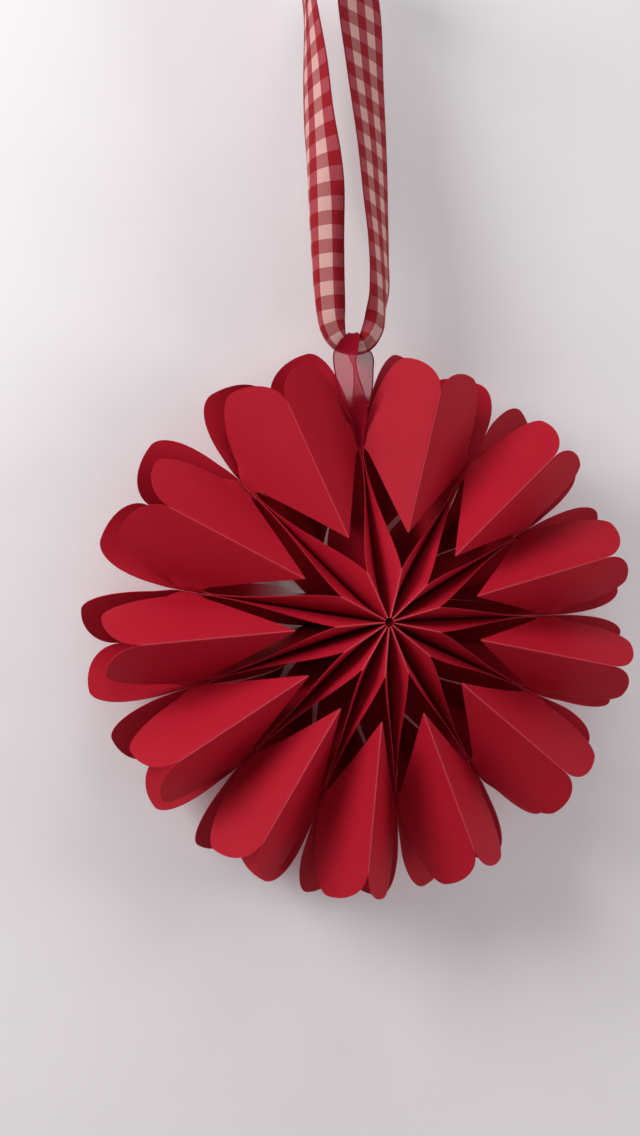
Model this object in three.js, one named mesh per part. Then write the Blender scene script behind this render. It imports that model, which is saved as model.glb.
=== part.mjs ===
// A hanging paper ornament: twelve pockets of folded red paper, each with a heart cut in its
// front fold and its back fold, fanned into a rosette, with a sheer ribbon loop and a checked
// ribbon to hang it by. Sizes are millimetres, +Z is up and the rosette's front faces -Y.
import * as THREE from "three";

// One pocket, flat: distances along the fold from the rosette's axis.
const STAR_TIP = 19.8;
const HEART_TIP = 35.9;
const WAIST = 66.7;
const BRIDGE = 5.5;
const CLEFT = 90;
const LOBE_TOP = 103;
// Distances across the fold, from the fold to the glued line.
const PANEL = 28.6;
const LOBE_AT = 17;
const BRIDGE_DEPTH = 2.6;
const LOBE_POWER = 1.95;
// Paper and glue.
const PAPER = 0.35;
const GLUE_GAP = 0.3;
const AXIS_HOLE = 3.2;
const HEART_ARCH = 0.5;
const STAR_RISE = 0.93;
const STAR_ROUND = 2.4;
// The longest a folded corner may stand off, in paper thicknesses.
const MITRE = 1.6;
// Seams between pockets, degrees clockwise from the top: where the hand-glued fan really sits.
const SEAMS = [35.9, 63.8, 91.7, 116.8, 148.1, 175.8, 200.4, 227, 254.3, 282.6, 319.5, 359.7];
// How far each heart's two halves spread past the waist, anticlockwise half first: 0 keeps a half
// straight, 1 follows the seam beside it.
const FRONT_FLARE = [
  [0.11, 0.2], [0.11, 0.37], [0.2, 0.26], [0.29, 0.23], [0.44, 0.32], [0.29, 0.35],
  [0.33, 0.48], [0.28, 0.4], [0.2, 0.2], [0, 0.05], [0.27, 0.06], [0.25, 0.1],
];
const BACK_FLARE = [
  [0.3, 1.2], [1.3, 0.85], [1, 1], [1.05, 0.7], [1.2, 0.5], [0.85, 1.25],
  [0.95, 1.3], [1, 0.9], [0.75, 1.15], [1, 0.65], [1, 0.85], [0.95, 0.6],
];
// How much longer each heart at the back was cut.
const BACK_LONGER = [2.6, 3, 3, 4, 1.5, 2.9, 3.3, 3.4, 3.9, 6.2, 4.3, 3.6];

// Checked ribbon: one closed loop that starts where it hangs in the sheer loop.
const CHECK_WIDTH = 27;
const CHECK_CLOTH = 0.3;
const CHECK_ABOVE = 3.8;
const LOOP_TALL = 168;
const LOOP_HALF = 10;
const CHECK_STEPS = 2;
const CHECK_ACROSS = 10;
// Stations: across the loop as a share of its half width, up as a share of its height, turn of
// the cloth from edge-on and how far it curls across its width in degrees, and its gathered width.
const STATIONS = [
  [-0.19, 0.007, 28, 330, 0.93],
  [-0.68, 0.03, 30, 315, 0.93],
  [-0.92, 0.0625, 28, 270, 0.93],
  [-1, 0.125, 25, 245, 0.94],
  [-1, 0.238, 25, 235, 0.96],
  [-1.02, 0.321, 25, 190, 1],
  [-1.06, 0.405, 20, 110, 1],
  [-1.08, 0.5, 14, 55, 1],
  [-1.07, 0.622, 10, 36, 1],
  [-1.06, 0.798, 2, 12, 1],
  [-1.02, 0.899, 1, 6, 1],
  [-0.72, 0.973, 1, 6, 1],
  [0, 1, 3, 6, 1],
  [0.7, 0.973, 14, 6, 1],
  [1, 0.899, 36, 8, 1],
  [1.02, 0.802, 42, 8, 1],
  [1.09, 0.625, 42, 8, 1],
  [1.2, 0.451, 37, 10, 1],
  [1.24, 0.217, 27, 25, 1],
  [1.16, 0.125, 27, 70, 0.97],
  [0.86, 0.0565, 30, 215, 0.93],
  [0.4, 0.015, 28, 310, 0.93],
];

// Sheer ribbon: a strip up from the top seam, over the checked ribbon and down again.
const SHEER_CLOTH = 0.25;
const SHEER_ROUND = 5.7;
const SHEER_STEPS = 30;
const SHEER_ACROSS = 4;
// Stations going up: share of its height, then how far forward and half width of the front strand,
// then the same of the back strand.
const SHEER_STATIONS = [
  [0, 0.9, 0.5, -0.1, 0.5],
  [0.1, 2.4, 1.3, 1, 1.3],
  [0.24, 3.6, 4, 1.6, 2.6],
  [0.64, 4.8, 7.2, -0.6, 3],
  [0.88, SHEER_ROUND, 7.2, -4, 4],
  [1, SHEER_ROUND, 4.3, -SHEER_ROUND, 4.3],
];
const SHEER_TOP_HALF = 1.1;
// Where its top crosses the checked ribbon, sideways of the axis.
const SHEER_AT = -0.75;

const PAPER_RED = 0xa81c2a;
const CHECK_RED = 0xb04a55;
const SHEER_RED = 0xb8556a;

const rad = THREE.MathUtils.degToRad;
const lerp = THREE.MathUtils.lerp;

// Collects quads and closes them into one outward-facing body.
class Skin {
  constructor() {
    this.points = [];
  }

  quad(a, b, c, d, forward) {
    const [p, q] = forward ? [b, d] : [d, b];
    this.points.push(a, p, c, a, c, q);
  }

  // An outer and an inner grid of points, with a rim along each end that is open.
  plate(outer, inner, forward, lowRows, highRows) {
    const last = outer[0].length - 1;
    for (let j = 0; j + 1 < outer.length; j++) {
      for (let i = 0; i < last; i++) {
        this.quad(outer[j][i], outer[j][i + 1], outer[j + 1][i + 1], outer[j + 1][i], forward);
        this.quad(inner[j][i], inner[j][i + 1], inner[j + 1][i + 1], inner[j + 1][i], !forward);
      }
      if (j < lowRows) this.quad(outer[j][0], outer[j + 1][0], inner[j + 1][0], inner[j][0], forward);
      if (j < highRows) {
        this.quad(outer[j + 1][last], outer[j][last], inner[j][last], inner[j + 1][last], forward);
      }
    }
  }

  geometry() {
    const volume = this.points.reduce(
      (sum, p, k) =>
        k % 3 ? sum : sum + p.dot(this.points[k + 1].clone().cross(this.points[k + 2])),
      0,
    );
    if (volume < 0) {
      for (let k = 0; k < this.points.length; k += 3) {
        [this.points[k + 1], this.points[k + 2]] = [this.points[k + 2], this.points[k + 1]];
      }
    }
    const made = new THREE.BufferGeometry().setFromPoints(this.points);
    made.computeVertexNormals();
    return made;
  }
}

// The pocket's outline, at distance v from the fold.
const NOTCH_END = PANEL - BRIDGE_DEPTH;
const starEdge = (v) => lerp(STAR_TIP, WAIST, Math.min(v / NOTCH_END, 1));
const heartEdge = (v) => lerp(HEART_TIP, WAIST, Math.min(v / NOTCH_END, 1));
function lobeEdge(v, longer) {
  if (v <= LOBE_AT) {
    const low = CLEFT + 0.6 * longer;
    return low + (LOBE_TOP + longer - low) * Math.sqrt(1 - ((LOBE_AT - v) / LOBE_AT) ** 2);
  }
  const low = WAIST + BRIDGE;
  const share = 1 - ((v - LOBE_AT) / (PANEL - LOBE_AT)) ** LOBE_POWER;
  return low + (LOBE_TOP + longer - low) * Math.max(share, 0) ** (1 / LOBE_POWER);
}

// One pocket in its own frame: x out along the fold, y across, z to the front.
function pocket(half, frontFlare, backFlare, longer) {
  const clear = PAPER + GLUE_GAP / 2;
  const rows = [0, 0.14, 0.32, 0.5, 0.68, 0.82, NOTCH_END / PANEL, 1].map((share) => share * PANEL);
  const last = rows.length - 1;
  const cells = 3;
  const skin = new Skin();

  for (const side of [1, -1]) {
    for (const face of [1, -1]) {
      const star = (u, v) => {
        const out = (PANEL - v) / PANEL;
        const open = 1 - Math.max(out, 0) ** STAR_ROUND;
        const turn = half * open;
        const depth = STAR_RISE * PANEL - ((2 / 3) * (u * Math.sin(half)) ** 2) / PANEL;
        return new THREE.Vector3(
          u * Math.cos(turn) + clear * Math.sin(turn) * open,
          side * (u * Math.sin(turn) - clear * Math.cos(turn) * open),
          face * depth * out,
        );
      };
      const flare = face > 0 ? frontFlare : backFlare;
      const spread = flare[side > 0 ? 0 : 1] * Math.sin(half);
      const seamNormal = new THREE.Vector3(-Math.sin(half), side * Math.cos(half), 0);
      const seamward = new THREE.Vector3(Math.cos(half), side * Math.sin(half), 0);
      const pin = star(WAIST, PANEL);
      const reach = Math.sqrt(PANEL * PANEL - pin.y * pin.y);
      const meanSpread = 0.5 * (flare[0] + flare[1]) * Math.sin(half);
      const lean = -Math.atan((side * pin.y * meanSpread) / reach);
      const foot = new THREE.Vector3(pin.x - reach * Math.sin(lean), 0, face * reach * Math.cos(lean));
      const along = new THREE.Vector3(Math.cos(lean), 0, face * Math.sin(lean));
      const edge = new THREE.Vector3(Math.sqrt(1 - spread * spread), side * spread, 0);
      const up = along.clone().cross(pin.clone().sub(foot)).normalize();
      if (up.z * face < 0) up.negate();
      const heart = (u, v) => {
        const share = v / PANEL;
        const p = foot.clone().addScaledVector(along, u - WAIST);
        p.lerp(pin.clone().addScaledVector(edge, u - WAIST), share);
        p.addScaledVector(up, HEART_ARCH * 4 * share * (1 - share));
        const over = p.dot(seamNormal) + clear;
        return over > 0 ? p.addScaledVector(seamNormal, -over) : p;
      };

      const normal = (shape, u, v) => {
        const step = 0.02;
        const du = shape(u + step, v).sub(shape(u - step, v));
        const dv = shape(u, v + step).sub(shape(u, v - step));
        const n = du.cross(dv).normalize();
        return n.y * side < 0 ? n.negate() : n;
      };
      // The offset at a fold stays on the pocket's middle plane, shared by both halves.
      const starFold = (n) => {
        const m = new THREE.Vector3(n.x, 0, n.z).divideScalar(Math.max(1 - n.y * n.y, 1e-6));
        return m.clampLength(0, MITRE);
      };
      const heartFold = new THREE.Vector3(-Math.sin(lean), 0, face * Math.cos(lean));
      heartFold.multiplyScalar(Math.min(PANEL / (side * pin.y), MITRE));
      const grid = (shape, low, high, bridge) => {
        const inner = [];
        const outer = [];
        rows.forEach((v, j) => {
          inner.push([]);
          outer.push([]);
          for (let i = 0; i <= cells; i++) {
            const u = lerp(low(v), high(v), i / cells);
            let p = shape(u, v);
            let n = normal(shape, u, v);
            if (j === 0) n = shape === heart ? heartFold : starFold(n);
            if (j === last && shape === heart) {
              p = pin.clone().addScaledVector(seamward, u - WAIST);
              n = seamNormal.clone();
            }
            if (i === bridge && j >= last - 1) {
              p = star(u, v).add(j === last ? pin : heart(u, v)).multiplyScalar(0.5);
              const other = j === last ? seamNormal : normal(heart, u, v);
              n = normal(star, u, v).add(other).normalize();
              if (j === last) n.z = 0;
            }
            inner[j].push(p);
            outer[j].push(p.clone().addScaledVector(n, PAPER));
          }
        });
        return [outer, inner];
      };
      const forward = side * face > 0;
      const tail = face > 0 ? 0 : longer;
      skin.plate(...grid(star, () => AXIS_HOLE, starEdge, cells), forward, last, last - 1);
      skin.plate(...grid(heart, heartEdge, (v) => lobeEdge(v, tail), 0), forward, last - 1, last);
    }
  }
  return skin.geometry();
}

// The checked ribbon's closed loop, round its lowest point.
function checkedRibbon() {
  const place = new THREE.CatmullRomCurve3(
    STATIONS.map(([x, z]) => new THREE.Vector3(x * LOOP_HALF, 0, z * LOOP_TALL)),
    true,
  );
  const cloth = new THREE.CatmullRomCurve3(
    STATIONS.map(([, , turn, curl, gather]) => new THREE.Vector3(rad(turn), rad(curl), gather)),
    true,
    "catmullrom",
    0.3,
  );
  const count = STATIONS.length * CHECK_STEPS;
  const front = [];
  const back = [];
  for (let k = 0; k <= count; k++) {
    const t = (k % count) / count;
    const centre = place.getPoint(t);
    const tangent = place.getTangent(t);
    const inward = new THREE.Vector3(tangent.z, 0, -tangent.x);
    const { x: turn, y: curl, z: gather } = cloth.getPoint(t);
    const round = (gather * CHECK_WIDTH) / Math.max(curl, 0.02);
    const angles = Array.from(
      { length: CHECK_ACROSS + 1 },
      (_, i) => turn + curl * (i / CHECK_ACROSS - 0.5),
    );
    const points = angles.map((a) =>
      new THREE.Vector3(0, -round * Math.sin(a), 0).addScaledVector(inward, -round * Math.cos(a)),
    );
    const mean = points.reduce((sum, p) => sum.add(p), new THREE.Vector3()).divideScalar(points.length);
    const rows = [1, -1].map((face) =>
      points.map((p, i) =>
        p
          .clone()
          .sub(mean)
          .add(centre)
          .addScaledVector(inward, face * 0.5 * CHECK_CLOTH * Math.cos(angles[i]))
          .add(new THREE.Vector3(0, face * 0.5 * CHECK_CLOTH * Math.sin(angles[i]), 0)),
      ),
    );
    front.push(rows[0]);
    back.push(rows[1]);
  }
  const skin = new Skin();
  skin.plate(front, back, true, count, count);
  return skin.geometry();
}

// The sheer ribbon: from the top seam's waist, round the checked ribbon's lowest point.
function sheerRibbon(low, high) {
  const tall = high.z - low.z;
  const bend = 0.72 * SHEER_ROUND;
  const all = [
    ...SHEER_STATIONS.map(([z, forward, wide]) => [-forward, z * tall, wide]),
    [-bend, tall + bend, SHEER_TOP_HALF],
    [0, tall + SHEER_ROUND, SHEER_TOP_HALF],
    [bend, tall + bend, SHEER_TOP_HALF],
    ...SHEER_STATIONS.map(([z, , , forward, wide]) => [-forward, z * tall, wide]).reverse(),
  ];
  const path = new THREE.CatmullRomCurve3(all.map(([y, z]) => new THREE.Vector3(0, y, z)));
  const wide = new THREE.CatmullRomCurve3(all.map((s) => new THREE.Vector3(s[2], 0, 0)));
  const front = [];
  const back = [];
  for (let k = 0; k <= SHEER_STEPS; k++) {
    const t = k / SHEER_STEPS;
    const p = path.getPoint(t);
    const tangent = path.getTangent(t);
    const out = new THREE.Vector3(0, -tangent.z, tangent.y);
    const reach = Math.max(wide.getPoint(t).x, 0.4);
    const x = lerp(low.x, high.x, THREE.MathUtils.clamp(p.z / tall, 0, 1));
    const row = Array.from({ length: SHEER_ACROSS + 1 }, (_, i) =>
      new THREE.Vector3(x + reach * ((2 * i) / SHEER_ACROSS - 1), p.y, low.z + p.z),
    );
    front.push(row.map((q) => q.clone().addScaledVector(out, 0.5 * SHEER_CLOTH)));
    back.push(row.map((q) => q.clone().addScaledVector(out, -0.5 * SHEER_CLOTH)));
  }
  const skin = new Skin();
  skin.plate(front, back, true, SHEER_STEPS, SHEER_STEPS);
  const end = (a, b, forward) => {
    for (let i = 0; i < SHEER_ACROSS; i++) skin.quad(a[i], b[i], b[i + 1], a[i + 1], forward);
  };
  end(front[0], back[0], true);
  end(front[SHEER_STEPS], back[SHEER_STEPS], false);
  return skin.geometry();
}

const group = new THREE.Group();
group.name = "paper_heart_rosette";
const loopLow = LOBE_TOP + CHECK_ABOVE + STATIONS[0][1] * LOOP_TALL;
const loopBottom = new THREE.Vector3(SHEER_AT, 0, loopLow);
const hook = LOBE_TOP + CHECK_ABOVE + LOOP_TALL - 0.5 * CHECK_CLOTH;

function add(name, geometry, color, roughness) {
  const mesh = new THREE.Mesh(geometry, new THREE.MeshStandardMaterial({ color, roughness }));
  mesh.name = name;
  group.add(mesh);
  return mesh;
}

SEAMS.forEach((seam, k) => {
  const before = k ? SEAMS[k - 1] : SEAMS[SEAMS.length - 1] - 360;
  const middle = rad((before + seam) / 2);
  const name = `paper_pocket_${String(k + 1).padStart(2, "0")}`;
  const geometry = pocket(rad((seam - before) / 2), FRONT_FLARE[k], BACK_FLARE[k], BACK_LONGER[k]);
  const out = new THREE.Vector3(Math.sin(middle), 0, Math.cos(middle));
  const across = new THREE.Vector3(-Math.cos(middle), 0, Math.sin(middle));
  const toFront = new THREE.Vector3(0, -1, 0);
  geometry.applyMatrix4(new THREE.Matrix4().makeBasis(out, across, toFront));
  geometry.translate(0, 0, -hook);
  add(name, geometry, PAPER_RED, 0.75);
});

const topSeam = rad(SEAMS[SEAMS.length - 1]);
const pinch = WAIST + BRIDGE + 1.4;
const sheerLow = new THREE.Vector3(pinch * Math.sin(topSeam), 0, pinch * Math.cos(topSeam));
add("sheer_loop", sheerRibbon(sheerLow, loopBottom).translate(0, 0, -hook), SHEER_RED, 0.6);
add("checked_ribbon", checkedRibbon().translate(0, 0, LOBE_TOP + CHECK_ABOVE - hook), CHECK_RED, 0.85);

export default group;
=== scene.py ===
"""Looks of a hanging rosette of twelve red paper hearts, its sheer loop and its checked ribbon."""

import logging
import math
from collections.abc import Callable, Sequence
from dataclasses import dataclass
from enum import Enum

import bpy
from mathutils import Matrix, Vector


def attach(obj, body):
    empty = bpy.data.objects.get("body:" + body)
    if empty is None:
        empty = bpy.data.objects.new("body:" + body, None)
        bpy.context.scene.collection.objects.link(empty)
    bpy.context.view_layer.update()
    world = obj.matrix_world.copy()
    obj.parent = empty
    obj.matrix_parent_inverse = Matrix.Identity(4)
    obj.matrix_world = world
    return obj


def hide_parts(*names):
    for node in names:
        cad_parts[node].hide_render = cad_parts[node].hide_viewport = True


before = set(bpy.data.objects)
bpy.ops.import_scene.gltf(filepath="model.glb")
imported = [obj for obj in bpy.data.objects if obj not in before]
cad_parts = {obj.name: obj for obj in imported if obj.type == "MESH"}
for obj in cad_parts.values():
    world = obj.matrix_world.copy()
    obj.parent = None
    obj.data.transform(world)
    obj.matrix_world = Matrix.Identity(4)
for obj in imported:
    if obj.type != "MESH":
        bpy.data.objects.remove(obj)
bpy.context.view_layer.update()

log = logging.getLogger("paper_heart_rosette")

MM = 0.001
BODY = "root"
SHEET_UV = "sheet"
MATHS = "ShaderNodeMath"
MIXED = "ShaderNodeMix"
# Corners of a piece closer than this, in mm, are one corner.
MEET = 0.002
# Guards: a step short of the last knot, knots in one place, and a pull too weak to matter.
SHORT_OF_END = 1e-9
LEAST_GAP = 1e-3
LEAST_PULL = 1e-6


class Slot(Enum):
    """Material slots of the part."""

    PAPER = "red_paper"
    SHEER = "sheer_ribbon"
    CHECK = "checked_ribbon"


class Face(Enum):
    """Which face of the rosette a heart looks out of."""

    FRONT = 1
    BACK = -1


class Side(Enum):
    """Which side of its fold a paper half lies on."""

    ANTICLOCKWISE = 1
    CLOCKWISE = -1


def linear(colour: str) -> tuple[float, float, float, float]:
    """Turns an sRGB hex colour into a linear one.

    Args:
        colour: the colour as # and six hex digits.

    Returns:
        Its linear red, green and blue, with full alpha.
    """
    shares = [int(colour[i : i + 2], 16) / 255 for i in (1, 3, 5)]
    r, g, b = (s / 12.92 if s <= 0.04045 else ((s + 0.055) / 1.055) ** 2.4 for s in shares)
    return r, g, b, 1.0


def smooth(share: float) -> float:
    """Eases a share between 0 and 1."""
    held = min(max(share, 0.0), 1.0)
    return held * held * (3 - 2 * held)


def mix(a: float, b: float, share: float) -> float:
    """Goes from a to b by a share."""
    return a + (b - a) * share


def spline(knots: Sequence[Sequence[float]], share: float, closed: bool) -> list[float]:
    """Follows a smooth curve through rows of numbers.

    Args:
        knots: the rows; the first two numbers of each are a place and set the spacing.
        share: how far along the curve, from 0 to 1.
        closed: whether the last row leads back to the first.

    Returns:
        The row of numbers at that share.
    """
    count = len(knots) if closed else len(knots) - 1
    at = min(share * count, count - SHORT_OF_END)
    first = int(at)
    step = at - first
    last = len(knots) - 1

    def knot(index: int) -> Sequence[float]:
        """A row by its number, going on past the ends."""
        if closed:
            return knots[index % len(knots)]
        if 0 <= index <= last:
            return knots[index]
        end, near = (knots[0], knots[1]) if index < 0 else (knots[last], knots[last - 1])
        return [2 * e - n for e, n in zip(end, near)]

    four = [knot(first + i) for i in (-1, 0, 1, 2)]
    gaps = [max(math.dist(p[:2], q[:2]) ** 0.5, LEAST_GAP) for p, q in zip(four, four[1:])]
    row = []
    for a, b, c, d in zip(*four):
        leave = ((b - a) / gaps[0] - (c - a) / (gaps[0] + gaps[1]) + (c - b) / gaps[1]) * gaps[1]
        arrive = ((c - b) / gaps[1] - (d - b) / (gaps[1] + gaps[2]) + (d - c) / gaps[2]) * gaps[1]
        bend = 3 * (c - b) - 2 * leave - arrive
        twist = 2 * (b - c) + leave + arrive
        row.append(b + leave * step + bend * step**2 + twist * step**3)
    return row


def add_node(
    tree: bpy.types.NodeTree, kind: str, inputs: dict | None = None, **settings: object
) -> bpy.types.Node:
    """Adds a shader node with its settings and links.

    Args:
        tree: the node tree it goes in.
        kind: the node's type name.
        inputs: values or output sockets for its inputs, by name or number.
        **settings: the node's own properties.

    Returns:
        The node.
    """
    made = tree.nodes.new(kind)
    for name, value in settings.items():
        setattr(made, name, value)
    for name, value in (inputs or {}).items():
        if isinstance(value, bpy.types.NodeSocket):
            tree.links.new(value, made.inputs[name])
        else:
            made.inputs[name].default_value = value
    return made


def new_material(name: str) -> tuple[bpy.types.Material, bpy.types.NodeTree]:
    """Makes an empty node material.

    Args:
        name: the material's name.

    Returns:
        The material and its node tree.
    """
    material = bpy.data.materials.new(name)
    material.use_nodes = True
    material.node_tree.nodes.clear()
    return material, material.node_tree


def shaped_grid(
    cells: tuple[int, int], shape: Callable[[int, int], tuple[Vector, Vector]], flip: bool
) -> bpy.types.Object:
    """Adds a grid and bends it into shape.

    Args:
        cells: faces along and across.
        shape: gives a corner's point and its flat place on the sheet, both in mm.
        flip: turns the faces round so that they look outward.

    Returns:
        The grid, with its flat place in metres in its UV map.
    """
    bpy.ops.object.select_all(action="DESELECT")
    bpy.ops.mesh.primitive_grid_add(x_subdivisions=cells[0], y_subdivisions=cells[1], size=1.0)
    piece = bpy.context.object
    mesh = piece.data
    mesh.uv_layers[0].name = SHEET_UV
    flat = []
    for vertex in mesh.vertices:
        i, j = (round((c + 0.5) * n) for c, n in zip(vertex.co, cells))
        point, place = shape(i, j)
        vertex.co = point * MM
        flat.append(place * MM)
    for loop in mesh.loops:
        mesh.uv_layers[SHEET_UV].data[loop.index].uv = flat[loop.vertex_index]
    if flip:
        edit_whole(piece, bpy.ops.mesh.flip_normals)
    return piece


def edit_whole(piece: bpy.types.Object, *steps: Callable[[], object]) -> None:
    """Runs edit-mode steps on the whole of a piece.

    Args:
        piece: the piece.
        *steps: the operators, called in order.
    """
    bpy.ops.object.select_all(action="DESELECT")
    piece.select_set(True)
    bpy.context.view_layer.objects.active = piece
    bpy.ops.object.mode_set(mode="EDIT")
    bpy.ops.mesh.select_all(action="SELECT")
    for step in steps:
        step()
    bpy.ops.object.mode_set(mode="OBJECT")


def joined(name: str, pieces: Sequence[bpy.types.Object]) -> bpy.types.Object:
    """Joins pieces into one and closes the lines where they meet.

    Args:
        name: the name of the whole.
        pieces: what is joined.

    Returns:
        The whole.
    """
    bpy.ops.object.select_all(action="DESELECT")
    for piece in pieces:
        piece.select_set(True)
    bpy.context.view_layer.objects.active = pieces[0]
    bpy.ops.object.join()
    whole = bpy.context.object
    whole.name = name
    whole.data.name = name
    edit_whole(whole, lambda: bpy.ops.mesh.remove_doubles(threshold=MEET * MM))
    return whole


def thicken(piece: bpy.types.Object, thick: float, offset: float, smooth_to: float) -> None:
    """Gives a sheet its thickness and smooth faces.

    Args:
        piece: the sheet.
        thick: its thickness in mm.
        offset: 1 puts it all outside the sheet's faces, 0 half on each side.
        smooth_to: edges that turn by more degrees than this stay sharp.
    """
    bpy.context.view_layer.objects.active = piece
    solid = piece.modifiers.new("thickness", "SOLIDIFY")
    solid.thickness = thick * MM
    solid.offset = offset
    solid.material_offset_rim = 1
    bpy.ops.object.modifier_apply(modifier=solid.name)
    bpy.ops.object.select_all(action="DESELECT")
    piece.select_set(True)
    bpy.ops.object.shade_smooth_by_angle(angle=math.radians(smooth_to))


def settle(piece: bpy.types.Object, node: str) -> None:
    """Puts a piece on its body in place of the CAD node it is drawn from.

    Args:
        piece: the finished piece.
        node: the CAD node's name.
    """
    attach(piece, BODY)
    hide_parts(node)
    log.info("%s: %d faces", piece.name, len(piece.data.polygons))


def woven(tree: bpy.types.NodeTree, place: bpy.types.Node, thread: float) -> bpy.types.NodeSocket:
    """Draws the threads of a plain weave.

    Args:
        tree: the material's node tree.
        place: the node that gives the flat place on the cloth.
        thread: how far apart the threads are, in mm.

    Returns:
        A height from -2 to 2: the waves of both ways of threads added up.
    """
    turn = 2 * math.pi / (thread * MM)
    waves = []
    for way in ("X", "Y"):
        wave = add_node(tree, MATHS, {0: place.outputs[way], 1: turn}, operation="MULTIPLY")
        waves.append(add_node(tree, MATHS, {0: wave.outputs[0]}, operation="SINE").outputs[0])
    return add_node(tree, MATHS, {0: waves[0], 1: waves[1]}, operation="ADD").outputs[0]


def selvages(
    tree: bpy.types.NodeTree, place: bpy.types.Node, width: float, wide: float
) -> bpy.types.NodeSocket:
    """Marks the firm edges along both sides of a ribbon.

    Args:
        tree: the material's node tree.
        place: the node that gives the flat place on the cloth.
        width: the ribbon's width in mm.
        wide: how wide each firm edge is, in mm.

    Returns:
        1 on the edges and 0 between them.
    """
    half = 0.5 * width
    off = add_node(tree, MATHS, {0: place.outputs["X"], 1: half * MM}, operation="SUBTRACT")
    far = add_node(tree, MATHS, {0: off.outputs[0]}, operation="ABSOLUTE").outputs[0]
    rim = add_node(tree, MATHS, {0: far, 1: (half - wide) * MM}, operation="GREATER_THAN")
    return rim.outputs[0]


@dataclass(frozen=True)
class CraftPaper:
    """Matt red craft paper: a flat deep red with faint fibres, paler along each fold, where it is worn
    and where a painted highlight of the rounded fold is added.
    """

    base: str = "#a61326"
    cloud: str = "#9d0f22"
    # Colour of the fold line: worn paper plus a painted highlight of the rounded fold.
    wear_and_highlight: str = "#c8565f"
    cloud_size: float = 16.0
    fibre_size: float = 0.7
    # The tooth of the fibres: how strong and how deep in mm.
    tooth: float = 0.12
    tooth_deep: float = 0.05
    # The pale fold line, part wear and part painted highlight: its half width in mm, how strong it is,
    # and where it starts and ends its fade.
    wear_and_highlight_half: float = 0.11
    wear_and_highlight_strength: float = 0.5
    wear_and_highlight_fade: tuple[float, float] = (0.4, 1.5)
    roughness: float = 0.6
    specular: float = 0.09

    def material(self) -> bpy.types.Material:
        """Makes the paper's material.

        Returns:
            The material.
        """
        material, tree = new_material("red_craft_paper")
        place = add_node(tree, "ShaderNodeTexCoord").outputs["Object"]
        flat = add_node(tree, "ShaderNodeUVMap", uv_map=SHEET_UV).outputs["UV"]
        across = add_node(tree, "ShaderNodeSeparateXYZ", {0: flat}).outputs["Y"]
        # Broad faint clouding from the paper's pulp.
        cloud = add_node(
            tree,
            "ShaderNodeTexNoise",
            {"Vector": place, "Scale": 1 / (self.cloud_size * MM), "Detail": 3.0},
        )
        # Short fibres: the tooth that keeps the paper from shining.
        fibre = add_node(
            tree,
            "ShaderNodeTexNoise",
            {"Vector": place, "Scale": 1 / (self.fibre_size * MM), "Detail": 2.0},
        )
        # The pale line along each fold: worn, whitened fibres plus a painted highlight where the
        # rounded fold would catch the light.
        start, stop = (share * self.wear_and_highlight_half * MM for share in self.wear_and_highlight_fade)
        fold = add_node(
            tree,
            "ShaderNodeMapRange",
            {
                "Value": across,
                "From Min": start,
                "From Max": stop,
                "To Min": self.wear_and_highlight_strength,
                "To Max": 0.0,
            },
            interpolation_type="SMOOTHSTEP",
        )
        pulp = add_node(
            tree,
            MIXED,
            {0: cloud.outputs["Fac"], 6: linear(self.base), 7: linear(self.cloud)},
            data_type="RGBA",
        )
        colour = add_node(
            tree,
            MIXED,
            {0: fold.outputs["Result"], 6: pulp.outputs[2], 7: linear(self.wear_and_highlight)},
            data_type="RGBA",
        )
        bump = add_node(
            tree,
            "ShaderNodeBump",
            {
                "Height": fibre.outputs["Fac"],
                "Strength": self.tooth,
                "Distance": self.tooth_deep * MM,
            },
        )
        paper = add_node(
            tree,
            "ShaderNodeBsdfPrincipled",
            {
                "Base Color": colour.outputs[2],
                "Roughness": self.roughness,
                "Specular IOR Level": self.specular,
                "Normal": bump.outputs["Normal"],
            },
        )
        add_node(tree, "ShaderNodeOutputMaterial", {"Surface": paper.outputs["BSDF"]})
        return material


@dataclass(frozen=True)
class CutPaperEdge:
    """The cut edge of the red paper, where its paler core shows as a thin line."""

    core: str = "#d98a90"
    dyed: str = "#c25a64"
    grain: float = 0.5
    roughness: float = 0.8

    def material(self) -> bpy.types.Material:
        """Makes the cut edge's material.

        Returns:
            The material.
        """
        material, tree = new_material("cut_paper_edge")
        place = add_node(tree, "ShaderNodeTexCoord").outputs["Object"]
        noise = add_node(
            tree,
            "ShaderNodeTexNoise",
            {"Vector": place, "Scale": 1 / (self.grain * MM), "Detail": 2.0},
        )
        colour = add_node(
            tree,
            MIXED,
            {0: noise.outputs["Fac"], 6: linear(self.core), 7: linear(self.dyed)},
            data_type="RGBA",
        )
        paper = add_node(
            tree,
            "ShaderNodeBsdfPrincipled",
            {"Base Color": colour.outputs[2], "Roughness": self.roughness},
        )
        add_node(tree, "ShaderNodeOutputMaterial", {"Surface": paper.outputs["BSDF"]})
        return material


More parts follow.
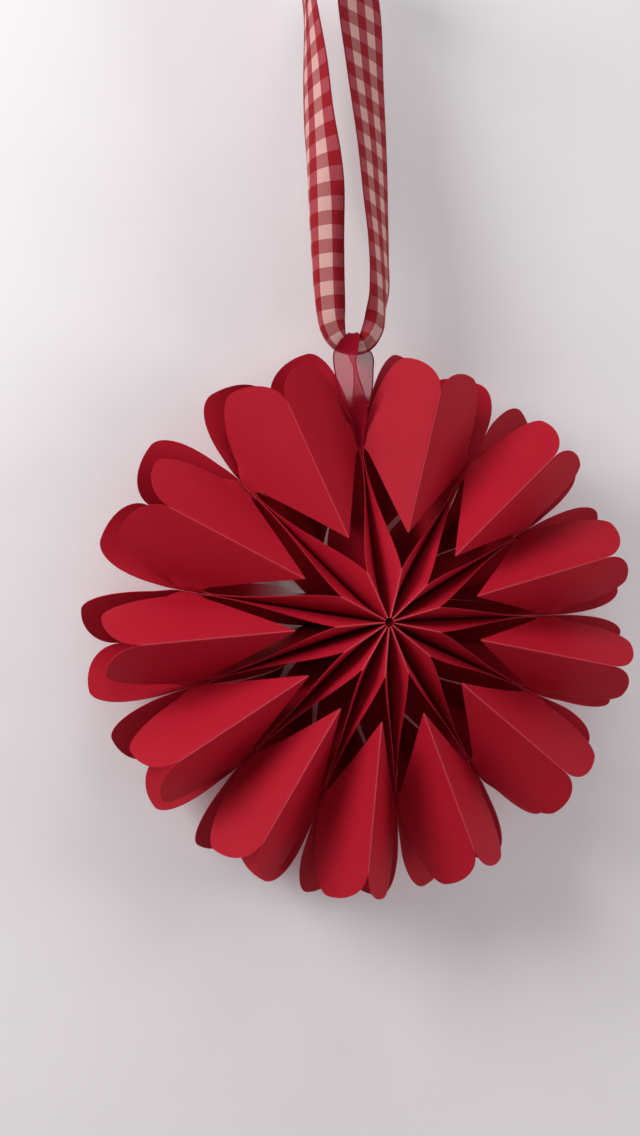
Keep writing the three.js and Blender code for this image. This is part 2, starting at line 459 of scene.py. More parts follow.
@dataclass(frozen=True)
class CheckedCotton:
    """Woven red and white checked cotton: soft squares in four tones with fine thread lines."""

    width: float
    red_on_red: str = "#890818"
    red_on_white: str = "#9a3e47"
    white_on_red: str = "#9f5d5c"
    white_on_white: str = "#c99d96"
    selvage: str = "#7c0818"
    columns: int = 5
    row: float = 5.4
    # The real threads are about 0.3 mm apart, too fine to show, so they are drawn coarser.
    thread: float = 0.62
    # How far the threads darken the colour, on the whole and from thread to thread.
    thread_dark: float = 0.1
    thread_shade: float = 0.05
    # How strongly the threads dimple the cloth and how deep in mm.
    dimple: float = 0.35
    dimple_deep: float = 0.12
    selvage_wide: float = 0.55
    roughness: float = 0.85
    specular: float = 0.2

    def material(self) -> bpy.types.Material:
        """Makes the checked cloth's material.

        Returns:
            The material.
        """
        material, tree = new_material("checked_cotton")
        flat = add_node(tree, "ShaderNodeUVMap", uv_map=SHEET_UV).outputs["UV"]
        place = add_node(tree, "ShaderNodeSeparateXYZ", {0: flat})
        # Dyed and plain stripes, one width each, by turns, both ways of the cloth.
        stripes = []
        for way, wide in (("X", self.width / self.columns), ("Y", self.row)):
            cell = add_node(
                tree, MATHS, {0: place.outputs[way], 1: 2 * wide * MM}, operation="FLOORED_MODULO"
            )
            plain = add_node(tree, MATHS, {0: cell.outputs[0], 1: wide * MM}, operation="GREATER_THAN")
            stripes.append(plain.outputs[0])
        column, row = stripes
        tones = [
            add_node(tree, MIXED, {0: row, 6: linear(on_red), 7: linear(on_white)}, data_type="RGBA")
            for on_red, on_white in (
                (self.red_on_red, self.red_on_white),
                (self.white_on_red, self.white_on_white),
            )
        ]
        checks = add_node(
            tree,
            MIXED,
            {0: column, 6: tones[0].outputs[2], 7: tones[1].outputs[2]},
            data_type="RGBA",
        )
        # Threads: faint lines that darken the colour and dimple the cloth.
        weave = woven(tree, place, self.thread)
        dark = add_node(
            tree, MATHS, {0: weave, 1: self.thread_shade, 2: self.thread_dark}, operation="MULTIPLY_ADD"
        )
        shaded = add_node(
            tree,
            MIXED,
            {0: dark.outputs[0], 6: checks.outputs[2], 7: linear(self.selvage)},
            data_type="RGBA",
        )
        # The tight dark selvage along both edges.
        rim = selvages(tree, place, self.width, self.selvage_wide)
        colour = add_node(
            tree, MIXED, {0: rim, 6: shaded.outputs[2], 7: linear(self.selvage)}, data_type="RGBA"
        )
        bump = add_node(
            tree,
            "ShaderNodeBump",
            {"Height": weave, "Strength": self.dimple, "Distance": self.dimple_deep * MM},
        )
        cloth = add_node(
            tree,
            "ShaderNodeBsdfPrincipled",
            {
                "Base Color": colour.outputs[2],
                "Roughness": self.roughness,
                "Specular IOR Level": self.specular,
                "Normal": bump.outputs["Normal"],
            },
        )
        add_node(tree, "ShaderNodeOutputMaterial", {"Surface": cloth.outputs["BSDF"]})
        return material


@dataclass(frozen=True)
class SheerOrganza:
    """Sheer red organza: the wall shows pink through it, with a solid dark thread at each edge."""

    width: float
    length: float
    base: str = "#a81e38"
    packed: str = "#7a061a"
    # How much of the cloth is thread, and how far that goes up and down from thread to gap.
    cover: float = 0.46
    cover_shade: float = 0.04
    # How far in mm the bunched ends and the wrap over the checked ribbon reach, and the share of
    # that which is quite solid.
    bunched_front: float = 26.0
    bunched_back: float = 15.0
    bunched_solid: float = 0.5
    wrapped: float = 10.0
    wrapped_solid: float = 0.6
    selvage_wide: float = 0.5
    # The real mesh is about 0.25 mm, too fine to show, so it is drawn coarser.
    thread: float = 0.6
    roughness: float = 0.8
    specular: float = 0.05

    def material(self) -> bpy.types.Material:
        """Makes the sheer cloth's material.

        Returns:
            The material.
        """
        material, tree = new_material("sheer_organza")
        flat = add_node(tree, "ShaderNodeUVMap", uv_map=SHEET_UV).outputs["UV"]
        place = add_node(tree, "ShaderNodeSeparateXYZ", {0: flat})
        mesh = woven(tree, place, self.thread)
        cover = add_node(
            tree, MATHS, {0: mesh, 1: self.cover_shade, 2: self.cover}, operation="MULTIPLY_ADD"
        )
        # Bunched layers at both ends, and where it wraps the checked ribbon, let little show through.
        along = place.outputs["Y"]
        inner = add_node(tree, MATHS, {0: along, 1: 0.5 * self.length * MM}, operation="SUBTRACT")
        reach = add_node(tree, MATHS, {0: inner.outputs[0]}, operation="ABSOLUTE").outputs[0]
        back_solid = self.length - self.bunched_solid * self.bunched_back
        dense = None
        for value, start, stop in (
            (along, self.bunched_front, self.bunched_solid * self.bunched_front),
            (along, self.length - self.bunched_back, back_solid),
            (reach, self.wrapped, self.wrapped_solid * self.wrapped),
        ):
            fold = add_node(
                tree,
                "ShaderNodeMapRange",
                {"Value": value, "From Min": start * MM, "From Max": stop * MM},
                interpolation_type="SMOOTHSTEP",
            ).outputs["Result"]
            if dense:
                fold = add_node(tree, MATHS, {0: dense, 1: fold}, operation="MAXIMUM").outputs[0]
            dense = fold
        # The solid thread along each edge.
        rim = selvages(tree, place, self.width, self.selvage_wide)
        deep = add_node(tree, MATHS, {0: rim, 1: dense}, operation="MAXIMUM").outputs[0]
        solid = add_node(tree, MATHS, {0: cover.outputs[0], 1: deep}, operation="MAXIMUM")
        colour = add_node(
            tree, MIXED, {0: deep, 6: linear(self.base), 7: linear(self.packed)}, data_type="RGBA"
        )
        cloth = add_node(
            tree,
            "ShaderNodeBsdfPrincipled",
            {
                "Base Color": colour.outputs[2],
                "Roughness": self.roughness,
                "Specular IOR Level": self.specular,
                "Alpha": solid.outputs[0],
            },
        )
        add_node(tree, "ShaderNodeOutputMaterial", {"Surface": cloth.outputs["BSDF"]})
        return material


@dataclass(frozen=True)
class PaleWall:
    """Pale grey painted board with a faint mottle, seen from its front only."""

    name: str = "pale_painted_wall"
    light: str = "#e6e2e4"
    dark: str = "#ddd9db"
    mottle: float = 60.0
    roughness: float = 0.9

    def material(self) -> bpy.types.Material:
        """Makes the board's material.

        Returns:
            The material.
        """
        material, tree = new_material(self.name)
        place = add_node(tree, "ShaderNodeTexCoord").outputs["Object"]
        noise = add_node(
            tree,
            "ShaderNodeTexNoise",
            {"Vector": place, "Scale": 1 / (self.mottle * MM), "Detail": 3.0},
        )
        colour = add_node(
            tree,
            MIXED,
            {0: noise.outputs["Fac"], 6: linear(self.light), 7: linear(self.dark)},
            data_type="RGBA",
        )
        board = add_node(
            tree,
            "ShaderNodeBsdfPrincipled",
            {"Base Color": colour.outputs[2], "Roughness": self.roughness},
        )
        clear = add_node(tree, "ShaderNodeBsdfTransparent")
        behind = add_node(tree, "ShaderNodeNewGeometry").outputs["Backfacing"]
        shown = add_node(
            tree,
            "ShaderNodeMixShader",
            {0: behind, 1: board.outputs["BSDF"], 2: clear.outputs["BSDF"]},
        )
        add_node(tree, "ShaderNodeOutputMaterial", {"Surface": shown.outputs["Shader"]})
        return material


@dataclass(frozen=True)
class PocketSizes:
    """Flat sizes of a paper pocket in mm: along the fold from the rosette's axis, then across it."""

    star_tip: float = 19.8
    heart_tip: float = 35.9
    waist: float = 66.7
    bridge: float = 5.5
    cleft: float = 90.0
    lobe_top: float = 103.0
    panel: float = 28.6
    lobe_at: float = 17.0
    bridge_depth: float = 2.6
    lobe_power: float = 1.95
    paper: float = 0.3
    glue: float = 0.04
    axis_hole: float = 1.6
    arch: float = 0.5
    # How high the star's fold stands, as a share of the panel, and how much it sinks as it widens.
    rise: float = 0.93
    sink: float = 2 / 3
    # How full the star's paper bows between fold and seam.
    front_round: float = 3.0
    back_round: float = 1.1
    # The middle of the notch at the back, and how far past the bridge the hearts are pressed there.
    back_notch: float = 30.0
    back_press: float = 12.0
    # How much of a longer heart's extra length its cleft gets.
    cleft_longer: float = 0.6
    # From which share across, over what share, paper follows the seam; over what length that fades.
    seam_from: float = 0.86
    seam_wide: float = 0.14
    seam_fade: float = 6.0
    # From which share across, over what share, the back hearts' edges are pressed.
    press_from: float = 0.88
    press_wide: float = 0.1
    # How far in from the notch's end, and along the fold, star and heart bend to meet.
    bridge_blend: float = 2.0
    bridge_fade: float = 3.0
    # How much lower and how wide the blunt top of a fold is.
    blunt: float = 0.2
    blunt_wide: float = 0.8
    # Edges that turn by more degrees than this stay sharp.
    smooth_to: float = 35.0
    inner_rows: int = 12
    outer_rows: int = 20
    cells: int = 18

    @property
    def notch_end(self) -> float:
        """How far across the fold the notch between star and heart reaches."""
        return self.panel - self.bridge_depth

    def rows(self) -> list[float]:
        """Spaces the mesh across the fold, closest where the outline turns fastest.

        Returns:
            Distances from the fold in mm.
        """
        inner = [
            self.lobe_at * (1 - math.cos(0.5 * math.pi * j / self.inner_rows))
            for j in range(self.inner_rows)
        ]
        wide = self.panel - self.lobe_at
        power = 2 / self.lobe_power
        outer = [
            self.lobe_at + wide * math.sin(0.5 * math.pi * j / self.outer_rows) ** power
            for j in range(self.outer_rows + 1)
        ]
        rows = inner + outer
        nearest = min(range(len(rows)), key=lambda j: abs(rows[j] - self.notch_end))
        rows[nearest] = self.notch_end
        return rows


@dataclass(frozen=True)
class PocketFit:
    """How one pocket sits in the fan: its two seams in degrees clockwise from the top, how far each
    heart half spreads past the waist, and how much longer the heart and how wide the notch at the
    back were cut."""

    before: float
    after: float
    front: tuple[float, float]
    back: tuple[float, float]
    longer: float
    notch: float


@dataclass(frozen=True)
class FanSizes:
    """How the twelve hand-glued pockets sit, clockwise from the one right of the top.

    The first four rows were fitted to points measured in the photo, and rounded.
    """

    # Degrees clockwise from the top.
    seams: tuple[float, ...] = (
        35.9, 63.8, 91.7, 116.8, 148.1, 175.8, 200.4, 227, 254.3, 282.6, 319.5, 359.7,
    )
    # The anticlockwise half first: 0 keeps a half straight, 1 follows the seam beside it.
    front_flare: tuple[tuple[float, float], ...] = (
        (0.11, 0.2), (0.11, 0.37), (0.2, 0.26), (0.29, 0.23), (0.44, 0.32), (0.29, 0.35),
        (0.33, 0.48), (0.28, 0.4), (0.2, 0.2), (0, 0.05), (0.27, 0.06), (0.25, 0.1),
    )
    back_flare: tuple[tuple[float, float], ...] = (
        (0.3, 1.2), (1.3, 0.85), (1, 1), (1.05, 0.7), (1.2, 0.5), (0.85, 1.25),
        (0.95, 1.3), (1, 0.9), (0.75, 1.15), (1, 0.65), (1, 0.85), (0.95, 0.6),
    )
    # Millimetres that the heart at the back is longer by.
    longer: tuple[float, ...] = (2.6, 3, 3, 4, 1.5, 2.9, 3.3, 3.4, 3.9, 6.2, 4.3, 3.6)
    # Millimetres between star and heart at the back. Below 0 the heart laps over the star.
    notch: tuple[float, ...] = (3.5, 2.5, 0.4, 0.4, 0.8, 4, 4.5, 4.5, 5, 16, 13, -1.5)

    def fits(self) -> list[PocketFit]:
        """Sorts the rows by pocket.

        Returns:
            How each pocket sits, clockwise from the top.
        """
        befores = (self.seams[-1] - 360,) + self.seams[:-1]
        rows = zip(befores, self.seams, self.front_flare, self.back_flare, self.longer, self.notch)
        return [PocketFit(*row) for row in rows]


class PocketQuarter:
    """One quarter of a pocket: a half star and a half heart on one side of one fold.

    Its frame has x out along the fold, y across and z to the rosette's front.
    """

    def __init__(self, sizes: PocketSizes, fit: PocketFit, side: Side, face: Face) -> None:
        """Works out where the quarter's seam, waist and fold lie.

        Args:
            sizes: the pocket's flat sizes.
            fit: how the pocket sits in the fan.
            side: the side of the fold.
            face: the face of the rosette.
        """
        self.sizes = sizes
        self.side = side.value
        self.face = face.value
        self.half = math.radians(0.5 * (fit.after - fit.before))
        self.clear = sizes.paper + 0.5 * sizes.glue
        back = face is Face.BACK
        self.longer = fit.longer if back else 0.0
        self.star_round = sizes.back_round if back else sizes.front_round
        self.star_tip = sizes.back_notch - 0.5 * fit.notch if back else sizes.star_tip
        self.heart_tip = sizes.back_notch + 0.5 * fit.notch if back else sizes.heart_tip
        self.press = sizes.back_press if back else 0.0
        flares = fit.back if back else fit.front
        spread = flares[0 if side is Side.ANTICLOCKWISE else 1] * math.sin(self.half)
        mean = 0.5 * sum(flares) * math.sin(self.half)
        self.seam_normal = Vector((-math.sin(self.half), self.side * math.cos(self.half), 0))
        self.seamward = Vector((math.cos(self.half), self.side * math.sin(self.half), 0))
        self.pin = self.star(sizes.waist, sizes.panel)
        reach = math.sqrt(sizes.panel**2 - self.pin.y**2)
        lean = -math.atan(self.side * self.pin.y * mean / reach)
        foot_in = self.pin.x - reach * math.sin(lean)
        self.foot = Vector((foot_in, 0, self.face * reach * math.cos(lean)))
        self.along = Vector((math.cos(lean), 0, self.face * math.sin(lean)))
        self.edge = Vector((math.sqrt(1 - spread**2), self.side * spread, 0))
        up = self.along.cross(self.pin - self.foot).normalized()
        self.up = up if up.z * self.face > 0 else -up

    def star(self, u: float, v: float) -> Vector:
        """Bends the paper of the star.

        Args:
            u: distance out from the axis in mm.
            v: distance from the fold in mm.

        Returns:
            The point in the quarter's frame.
        """
        size = self.sizes
        share = v / size.panel
        out = 1 - share
        opened = 1 - out**self.star_round
        turn = self.half * opened
        depth = size.rise * size.panel - size.sink * (u * math.sin(self.half)) ** 2 / size.panel
        return Vector((
            u * math.cos(turn) + self.clear * math.sin(turn) * opened,
            self.side * (u * math.sin(turn) - self.clear * math.cos(turn) * opened),
            self.face * depth * out,
        ))

    def heart(self, u: float, v: float) -> Vector:
        """Bends the paper of the heart, held at its waist and kept on its own side of the seam.

        Args:
            u: distance out from the axis in mm.
            v: distance from the fold in mm.

        Returns:
            The point in the quarter's frame.
        """
        size = self.sizes
        share = v / size.panel
        past = u - size.waist
        beyond = past - size.bridge
        point = (self.foot + self.along * past).lerp(self.pin + self.edge * past, share)
        point += self.up * (size.arch * 4 * share * (1 - share))
        # Close to the glued line the two hearts of a pocket run together along the seam.
        near = smooth((share - size.seam_from) / size.seam_wide)
        close = near * min(max(1 - beyond / size.seam_fade, 0), 1)
        point += (self.seamward - self.edge) * (past * close)
        over = point.dot(self.seam_normal) + self.clear
        if over < 0 and self.press:
            # At the back the glue also presses the hearts' edges to the seam past the bridge.
            held = smooth((share - size.press_from) / size.press_wide) * smooth(1 - beyond / self.press)
            return point - self.seam_normal * (over * held)
        return point - self.seam_normal * max(over, 0)

    def sheet(self, shape: Callable[[float, float], Vector], u: float, v: float) -> Vector:
        """Finishes a point of the paper with the bridge between star and heart and the blunt fold.

        Args:
            shape: bends the star or the heart.
            u: distance out from the axis in mm.
            v: distance from the fold in mm.

        Returns:
            The point in the quarter's frame.
        """
        size = self.sizes
        point = shape(u, v)
        near = smooth((v - size.notch_end + size.bridge_blend) / size.bridge_blend)
        pull = near * math.exp(-abs(u - size.waist) / size.bridge_fade)
        if pull > LEAST_PULL:
            meet = (self.star(size.waist, v) + self.heart(size.waist, v)) * 0.5
            point += (meet - shape(size.waist, v)) * pull
        point.z -= self.face * size.blunt * max(1 - v / size.blunt_wide, 0) ** 2
        return point

    def star_edge(self, v: float) -> float:
        """Where the star ends along the fold."""
        return mix(self.star_tip, self.sizes.waist, min(v / self.sizes.notch_end, 1))

    def heart_edge(self, v: float) -> float:
        """Where the heart starts along the fold."""
        return mix(self.heart_tip, self.sizes.waist, min(v / self.sizes.notch_end, 1))

    def lobe_edge(self, v: float) -> float:
        """Follows the round of the heart's lobe from its cleft to the bridge.

        Args:
            v: distance from the fold in mm.

        Returns:
            Where the lobe ends along the fold, in mm from the axis.
        """
        size = self.sizes
        top = size.lobe_top + self.longer
        if v <= size.lobe_at:
            low = size.cleft + size.cleft_longer * self.longer
            return low + (top - low) * math.sqrt(1 - ((size.lobe_at - v) / size.lobe_at) ** 2)
        low = size.waist + size.bridge
        share = 1 - ((v - size.lobe_at) / (size.panel - size.lobe_at)) ** size.lobe_power
        return low + (top - low) * max(share, 0) ** (1 / size.lobe_power)

    def build(self, place: Matrix) -> list[bpy.types.Object]:
        """Models the half star and the half heart.

        Args:
            place: takes the quarter's frame to the part's, in mm.

        Returns:
            The two grids.
        """
        rows = self.sizes.rows()
        cells = self.sizes.cells
        flip = self.side * self.face < 0
        parts = []
        for shape, low, high in (
            (self.star, lambda v: self.sizes.axis_hole, self.star_edge),
            (self.heart, self.heart_edge, self.lobe_edge),
        ):

            def corner(i: int, j: int) -> tuple[Vector, Vector]:
                """A corner's point and its flat place on the paper."""
                v = rows[j]
                u = mix(low(v), high(v), i / cells)
                return place @ self.sheet(shape, u, v), Vector((u, v))

            parts.append(shaped_grid((cells, len(rows) - 1), corner, flip))
        return parts


class Rosette:
    """Twelve folded paper pockets glued into a fan, hand-made and so a little uneven."""

    def __init__(self, sizes: PocketSizes, fan: FanSizes, hook: float) -> None:
        """Keeps the sizes.

        Args:
            sizes: a pocket's flat sizes.
            fan: how the pockets sit.
            hook: how far the axis is below the hanging point, in mm.
        """
        self.sizes = sizes
        self.fan = fan
        self.hook = hook
        self.pockets: list[bpy.types.Object] = []

    def build(self) -> None:
        """Models every pocket as one thick sheet."""
        for number, fit in enumerate(self.fan.fits(), 1):
            middle = math.radians(0.5 * (fit.before + fit.after))
            out = Vector((math.sin(middle), 0, math.cos(middle)))
            across = Vector((-math.cos(middle), 0, math.sin(middle)))
            place = Matrix((out, across, (0, -1, 0))).transposed().to_4x4()
            place.translation = (0, 0, -self.hook)
            parts = [
                part
                for side in Side
                for face in Face
                for part in PocketQuarter(self.sizes, fit, side, face).build(place)
            ]
            pocket = joined(f"folded_pocket_{number:02d}", parts)
            thicken(pocket, self.sizes.paper, 1, self.sizes.smooth_to)
            self.pockets.append(pocket)

    def dress(self, paper: bpy.types.Material, cut: bpy.types.Material) -> None:
        """Gives the pockets their paper and puts them in place of the CAD's.

        Args:
            paper: the paper's faces.
            cut: the paper's cut edges.
        """
        for number, pocket in enumerate(self.pockets, 1):
            pocket.data.materials.clear()
            pocket.data.materials.append(paper)
            pocket.data.materials.append(cut)
            settle(pocket, f"paper_pocket_{number:02d}")


@dataclass(frozen=True)
class RibbonSizes:
    """What every ribbon has: width and cloth in mm, its stations and the cells of its mesh."""

    width: float
    cloth: float
    cells: int
    stations: tuple[tuple[float, ...], ...]
    steps: int = 160
    # Edges that turn by more degrees than this stay sharp.
    smooth_to: float = 60.0


class RibbonLoop:
    """A ribbon modelled as rows of points across its cloth, which each ribbon lays in its own way."""

    def __init__(self, name: str, sizes: RibbonSizes) -> None:
        """Keeps the name and the sizes.

        Args:
            name: the piece's name.
            sizes: the ribbon's sizes.
        """
        self.name = name
        self.sizes = sizes
        self.piece: bpy.types.Object | None = None
        self.length = 0.0

    def rows(self) -> list[list[Vector]]:
        """Rows of points across the cloth, in order along it."""
        raise NotImplementedError

    def build(self) -> None:
        """Models the ribbon as one thin band and measures its length."""
        size = self.sizes
        rows = self.rows()
        middle = size.cells // 2
        travelled = [0.0]
        for row, following in zip(rows, rows[1:]):
            travelled.append(travelled[-1] + (following[middle] - row[middle]).length)
        self.length = travelled[-1]

        def corner(i: int, j: int) -> tuple[Vector, Vector]:
            """A corner's point and its flat place on the cloth."""
            return rows[j][i], Vector((size.width * i / size.cells, travelled[j]))

        band = shaped_grid((size.cells, size.steps), corner, False)
        self.piece = joined(self.name, [band])
        thicken(self.piece, size.cloth, 0, size.smooth_to)

    def cover(self, cloth: bpy.types.Material) -> tuple[float, float]:
        """Gives the ribbon its cloth.

        Args:
            cloth: the cloth's material.

        Returns:
            The flat width and length it was cut to, in metres.
        """
        self.piece.data.materials.clear()
        self.piece.data.materials.append(cloth)
        return self.sizes.width * MM, self.length * MM


@dataclass(frozen=True)
class CheckedSizes(RibbonSizes):
    """Sizes of the checked ribbon's loop in mm. A station is: across as a share of the half width, up
    as a share of the height, turn from edge-on and curl in degrees, and gathered width."""

    width: float = 27.0
    cloth: float = 0.3
    cells: int = 64
    # How far the loop's foot is above the front hearts, how tall it is, and half its width.
    above: float = 3.8
    tall: float = 168.0
    half: float = 10.0
    # Pleats across the gathered foot, and how much of the spare cloth they take up.
    pleats: int = 4
    pleated: float = 0.35
    least_curl: float = 1.2
    look_ahead: float = 1e-4
    stations: tuple[tuple[float, ...], ...] = (
        (-0.19, -0.007, 12, 325, 0.66), (-0.68, 0.008, 12, 310, 0.77), (-0.96, 0.043, 12, 268, 0.88),
        (-1.04, 0.09, 14, 240, 0.94), (-1.07, 0.15, 18, 225, 0.96), (-1.06, 0.238, 22, 212, 0.98),
        (-1.05, 0.321, 24, 180, 1), (-1.06, 0.405, 20, 110, 1), (-1.08, 0.5, 14, 55, 1),
        (-1.07, 0.622, 9, 36, 1), (-1.06, 0.798, -3, 12, 1), (-1.02, 0.899, 0, 6, 1),
        (-0.72, 0.973, 1, 6, 1), (0, 1, 3, 6, 1), (0.7, 0.973, 16, 6, 1), (1, 0.899, 42, 8, 1),
        (1.02, 0.802, 52, 8, 1), (1.09, 0.625, 46, 8, 1), (1.2, 0.451, 39, 10, 1),
        (1.22, 0.332, 35, 13, 1), (1.25, 0.217, 31, 18, 1), (1.23, 0.13, 30, 34, 0.98),
        (1.1, 0.076, 24, 80, 0.95), (0.85, 0.03, 18, 195, 0.82), (0.34, -0.004, 13, 300, 0.68),
    )


class CheckedRibbon(RibbonLoop):
    """The checked ribbon the ornament hangs by: one loop, curled at its sides and gathered below."""

    def __init__(self, sizes: CheckedSizes, low: float) -> None:
        """Keeps the sizes.

        Args:
            sizes: the loop's sizes.
            low: the height of the loop's foot in mm.
        """
        super().__init__("checked_ribbon_loop", sizes)
        self.low = low

    def rows(self) -> list[list[Vector]]:
        """Lays the cloth along the loop.

        Returns:
            Rows of points across the cloth, from the loop's lowest place and round to it again.
        """
        size = self.sizes
        knots = [(x * size.half, z * size.tall, t, c, g) for x, z, t, c, g in size.stations]
        rows = []
        for k in range(size.steps + 1):
            share = (k % size.steps) / size.steps
            x, z, turn, curl, gather = spline(knots, share, True)
            ahead = spline(knots, (share + size.look_ahead) % 1, True)
            tangent = Vector((ahead[0] - x, 0, ahead[1] - z)).normalized()
            inward = Vector((tangent.z, 0, -tangent.x))
            bend = math.radians(max(curl, size.least_curl))
            radius = gather * size.width / bend
            first = math.radians(turn)
            angles = [first + bend * (i / size.cells - 0.5) for i in range(size.cells + 1)]
            outward = [Vector((0, -math.sin(a), 0)) - inward * math.cos(a) for a in angles]
            # Pleats take up some of the cloth that the gathered width leaves over.
            steep = math.sqrt(max(gather**-2 - 1, 0))
            deep = size.pleated * steep * gather * size.width / (4 * size.pleats)
            turns = math.tau * size.pleats / size.cells
            points = [o * (radius + deep * math.sin(turns * i)) for i, o in enumerate(outward)]
            mean = sum(points, Vector()) / len(points)
            centre = Vector((x, 0, z + self.low))
            rows.append([p - mean + centre for p in points])
        return rows

    def dress(self, cloth: bpy.types.Material) -> None:
        """Gives the ribbon its checked cotton and puts it in place of the CAD's.

        Args:
            cloth: the checked cotton.
        """
        flat = self.cover(cloth)
        settle(self.piece, "checked_ribbon")


@dataclass(frozen=True)
class SheerSizes(RibbonSizes):
    """Sizes of the sheer ribbon in mm. A station is: sideways, forward, up as a share of the height
    from the seam to the checked ribbon, gathered width, and curl across and turn from facing front in
    degrees."""

    width: float = 10.0
    cloth: float = 0.1
    cells: int = 40
    # How far above the waist its front end is pinched into the seam.
    pinch: float = 1.0
    least_curl: float = 1.0
    look_ahead: float = 1e-3
    stations: tuple[tuple[float, ...], ...] = (
        (-0.5, 1.4, 0, 0.32, 140, 0), (-0.5, 1.4, 0.156, 0.52, 140, 0),
        (-0.65, 1.7, 0.269, 0.74, 125, 4), (-1.4, 2.6, 0.398, 0.92, 95, 14),
        (-2.9, 3.6, 0.517, 1, 60, 30), (-4.4, 4.2, 0.672, 1, 48, 40),
        (-5.2, 4.7, 0.831, 1, 45, 40), (-4.9, 5.1, 0.899, 1, 50, 34),
        (-3.5, 5.2, 0.989, 0.8, 60, 16), (-1.5, 4.4, 1.081, 0.5, 50, 3),
        (-0.7, 0, 1.139, 0.36, 50, 0), (0.1, -4.8, 1.084, 0.5, 50, -5),
        (2.2, -6.4, 0.978, 0.8, 60, -22), (3.9, -6.3, 0.899, 1, 40, -44),
        (3.7, -5.9, 0.783, 1, 40, -50), (3.3, -5.8, 0.657, 1, 40, -52),
        (2.6, -6, 0.546, 1, 40, -54), (1.6, -6.2, 0.451, 1, 38, -63),
        (0.2, -6.2, 0.351, 0.9, 28, -82), (-0.4, -5.6, 0.251, 0.78, 15, -90),
    )


class SheerLoop(RibbonLoop):
    """The sheer ribbon: up from the top seam, over the checked ribbon's foot and down behind."""

    def __init__(self, sizes: SheerSizes, low: float, high: float) -> None:
        """Keeps the sizes.

        Args:
            sizes: the ribbon's sizes.
            low: the height where its front end is pinched, in mm.
            high: the height of the checked ribbon's foot, in mm.
        """
        super().__init__("sheer_ribbon_loop", sizes)
        self.low = low
        self.high = high

    def rows(self) -> list[list[Vector]]:
        """Lays the cloth along the ribbon, curled and turned.

        Returns:
            Rows of points across the cloth, from its front end to its back end.
        """
        size = self.sizes
        tall = self.high - self.low
        look = size.look_ahead
        knots = [(-f, z * tall, x, wide, curl, turn) for x, f, z, wide, curl, turn in size.stations]
        rows = []
        for k in range(size.steps + 1):
            share = k / size.steps
            y, up, x, gather, curl, turn = spline(knots, share, False)
            near, ahead = (spline(knots, min(max(share + s, 0), 1), False) for s in (-look, look))
            gone = Vector((ahead[2] - near[2], ahead[0] - near[0], ahead[1] - near[1]))
            tangent = gone.normalized()
            side = (Vector((1, 0, 0)) - tangent * tangent.x).normalized()
            turned = Matrix.Rotation(-math.radians(turn), 3, tangent)
            across = turned @ side
            out = across.cross(tangent)
            bend = math.radians(max(curl, size.least_curl))
            radius = gather * size.width / bend
            centre = Vector((x, y, self.low + up))
            row = []
            for i in range(size.cells + 1):
                angle = bend * (i / size.cells - 0.5)
                aside = across * (radius * math.sin(angle))
                row.append(centre + aside + out * (radius * (1 - math.cos(angle))))
            rows.append(row)
        return rows

    def dress(self, cloth: bpy.types.Material) -> None:
        """Gives the loop its organza and puts it in place of the CAD's.

        Args:
            cloth: the organza.
        """
        flat = self.cover(cloth)
        settle(self.piece, "sheer_loop")


@dataclass(frozen=True)
class StudioSizes:
    """Where the camera, lamps, wall and floor are, in mm and degrees, with lamp powers in watts."""

    camera_at: tuple[float, float, float] = (-102.4, -412.8, -262.6)
    camera_yaw: float = 11.34
    camera_pitch: float = -1.96
    camera_roll: float = 3.455
    lens: float = 35.15
    sensor: float = 36.0
    nearest: float = 10.0
    wall_back: float = 30.5
    wall_wide: float = 1400.0
    floor_down: float = 640.0
    lamp_wide: float = 420.0
    lamp_far: float = 850.0
    key_from: tuple[float, float, float] = (-0.785, -0.423, 0.453)
    key_power: float = 6.2
    top_from: tuple[float, float, float] = (0.0, -0.423, 0.906)
    top_power: float = 1.85
    fill_from: tuple[float, float, float] = (0.906, -0.423, 0.0)
    fill_power: float = 2.6
    rear_from: tuple[float, float, float] = (0.35, 0.85, 0.4)
    rear_far: float = 1300.0
    rear_power: float = 5.0
    # The sky that lights the object, and the plain colour the camera sees in its place.
    sky: str = "#f4f2f6"
    sky_strength: float = 0.29
    backdrop: str = "#dad5d8"


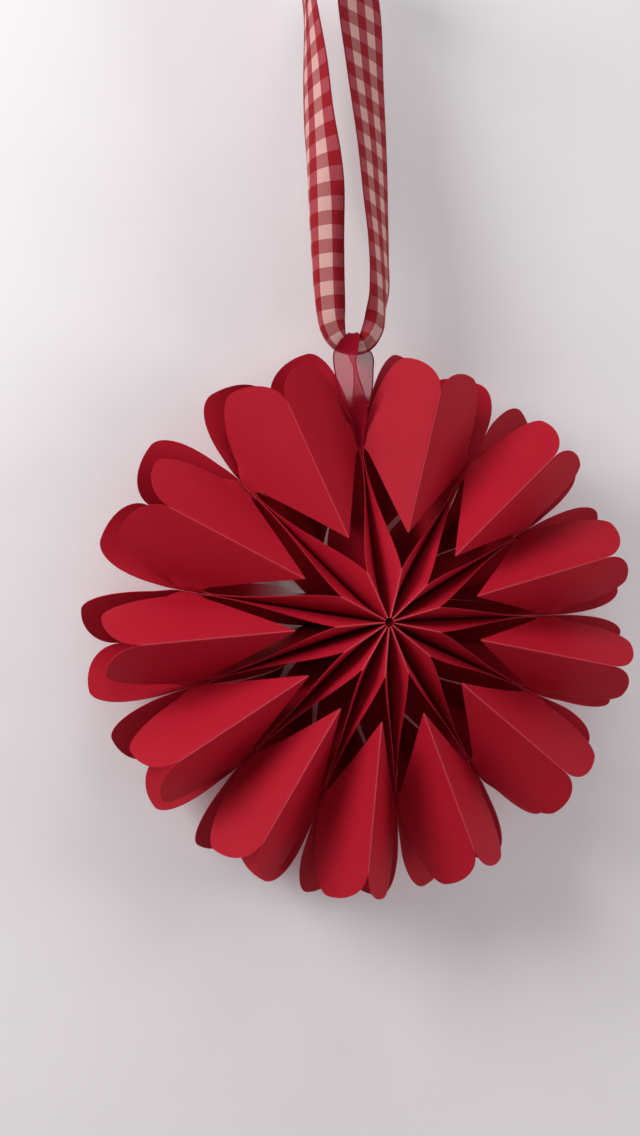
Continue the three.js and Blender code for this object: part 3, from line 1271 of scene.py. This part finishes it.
class Studio:
    """A pale wall close behind, a floor far below, soft lamps and an even sky."""

    def __init__(self, sizes: StudioSizes, centre: Vector) -> None:
        """Keeps the sizes.

        Args:
            sizes: where everything stands.
            centre: the middle of the rosette in mm.
        """
        self.sizes = sizes
        self.centre = centre

    def plane(self, name: str, wide: float, place: Matrix) -> bpy.types.Object:
        """Adds a square board that isn't part of the object.

        Args:
            name: the board's name.
            wide: its side in mm.
            place: turns it and puts it in place, in metres.

        Returns:
            The board.
        """
        bpy.ops.object.select_all(action="DESELECT")
        bpy.ops.mesh.primitive_plane_add(size=wide * MM)
        board = bpy.context.object
        board.name = name
        board.data.transform(place)
        return board

    def build(self, wall: bpy.types.Material, floor: bpy.types.Material) -> None:
        """Sets the wall, the floor, the lamps, the sky and the camera.

        Args:
            wall: the wall's material.
            floor: the floor's material.
        """
        size = self.sizes
        behind = Matrix.Translation((0, size.wall_back * MM, self.centre.z * MM))
        upright = behind @ Matrix.Rotation(math.radians(90), 4, "X")
        below = Matrix.Translation((0, 0, -size.floor_down * MM))
        board = self.plane("wall", size.wall_wide, upright)
        ground = self.plane("floor", size.wall_wide, below)
        for piece, finish in ((board, wall), (ground, floor)):
            piece.data.materials.append(finish)
            piece.visible_shadow = False
        self.light()
        self.camera()

    def lamp(self, name: str, side: Sequence[float], far: float, power: float) -> None:
        """Adds a round soft lamp that looks at the rosette.

        Args:
            name: the lamp's name.
            side: which way it stands from the rosette.
            far: how far off, in mm.
            power: its power in watts.
        """
        towards = Vector(side).normalized()
        bpy.ops.object.light_add(type="AREA", location=(self.centre + towards * far) * MM)
        lamp = bpy.context.object
        lamp.name = name
        lamp.data.shape = "DISK"
        lamp.data.size = self.sizes.lamp_wide * MM
        lamp.data.energy = power
        lamp.rotation_mode = "QUATERNION"
        lamp.rotation_quaternion = (-towards).to_track_quat("-Z", "Y")

    def light(self) -> None:
        """Adds soft lamps at the left, above and at the right, one behind, and the even sky."""
        size = self.sizes
        self.lamp("key_lamp", size.key_from, size.lamp_far, size.key_power)
        self.lamp("top_lamp", size.top_from, size.lamp_far, size.top_power)
        self.lamp("fill_lamp", size.fill_from, size.lamp_far, size.fill_power)
        # The wall keeps the sky from the back, so a lamp behind it shows the back.
        self.lamp("rear_lamp", size.rear_from, size.rear_far, size.rear_power)
        world = bpy.data.worlds.new("even_sky")
        bpy.context.scene.world = world
        world.use_nodes = True
        tree = world.node_tree
        tree.nodes.clear()
        seen = add_node(tree, "ShaderNodeLightPath").outputs["Is Camera Ray"]
        sky, pale = (
            add_node(tree, "ShaderNodeBackground", {"Color": linear(colour), "Strength": strength})
            for colour, strength in ((size.sky, size.sky_strength), (size.backdrop, 1.0))
        )
        both = add_node(
            tree,
            "ShaderNodeMixShader",
            {0: seen, 1: sky.outputs["Background"], 2: pale.outputs["Background"]},
        )
        add_node(tree, "ShaderNodeOutputWorld", {"Surface": both.outputs["Shader"]})

    def camera(self) -> None:
        """Adds the camera where the photo was taken from."""
        size = self.sizes
        bpy.ops.object.camera_add(location=Vector(size.camera_at) * MM)
        camera = bpy.context.object
        camera.name = "photo_camera"
        turned = Matrix.Identity(3)
        for degrees, axis in (
            (size.camera_roll, "Y"),
            (90, "X"),
            (-size.camera_yaw, "Y"),
            (-size.camera_pitch, "X"),
        ):
            turned = turned @ Matrix.Rotation(math.radians(degrees), 3, axis)
        camera.rotation_mode = "QUATERNION"
        camera.rotation_quaternion = turned.to_quaternion()
        camera.data.sensor_fit = "AUTO"
        camera.data.sensor_width = size.sensor
        camera.data.lens = size.lens
        camera.data.clip_start = size.nearest * MM
        bpy.context.scene.camera = camera


def main() -> None:
    """Builds the ornament, dresses it and lights it."""
    logging.basicConfig(level=logging.INFO, format="%(name)s %(message)s")
    bpy.context.scene.view_settings.view_transform = "Standard"

    pocket = PocketSizes()
    checked = CheckedSizes()
    loop_low = pocket.lobe_top + checked.above
    hook = loop_low + checked.tall - 0.5 * checked.cloth

    rosette = Rosette(pocket, FanSizes(), hook)
    rosette.build()
    rosette.dress(CraftPaper().material(), CutPaperEdge().material())

    ribbon = CheckedRibbon(checked, loop_low - hook)
    ribbon.build()
    ribbon.dress(CheckedCotton(checked.width).material())

    sheer_sizes = SheerSizes()
    sheer_low = pocket.waist + sheer_sizes.pinch
    sheer_high = loop_low + checked.stations[0][1] * checked.tall
    sheer = SheerLoop(sheer_sizes, sheer_low - hook, sheer_high - hook)
    sheer.build()
    sheer.dress(SheerOrganza(sheer_sizes.width, sheer.length).material())

    wall = PaleWall().material()
    floor = PaleWall(name="pale_painted_floor", light="#c8c2c4", dark="#bfb9bb").material()
    Studio(StudioSizes(), Vector((0, 0, -hook))).build(wall, floor)


if __name__ == "__main__":
    main()
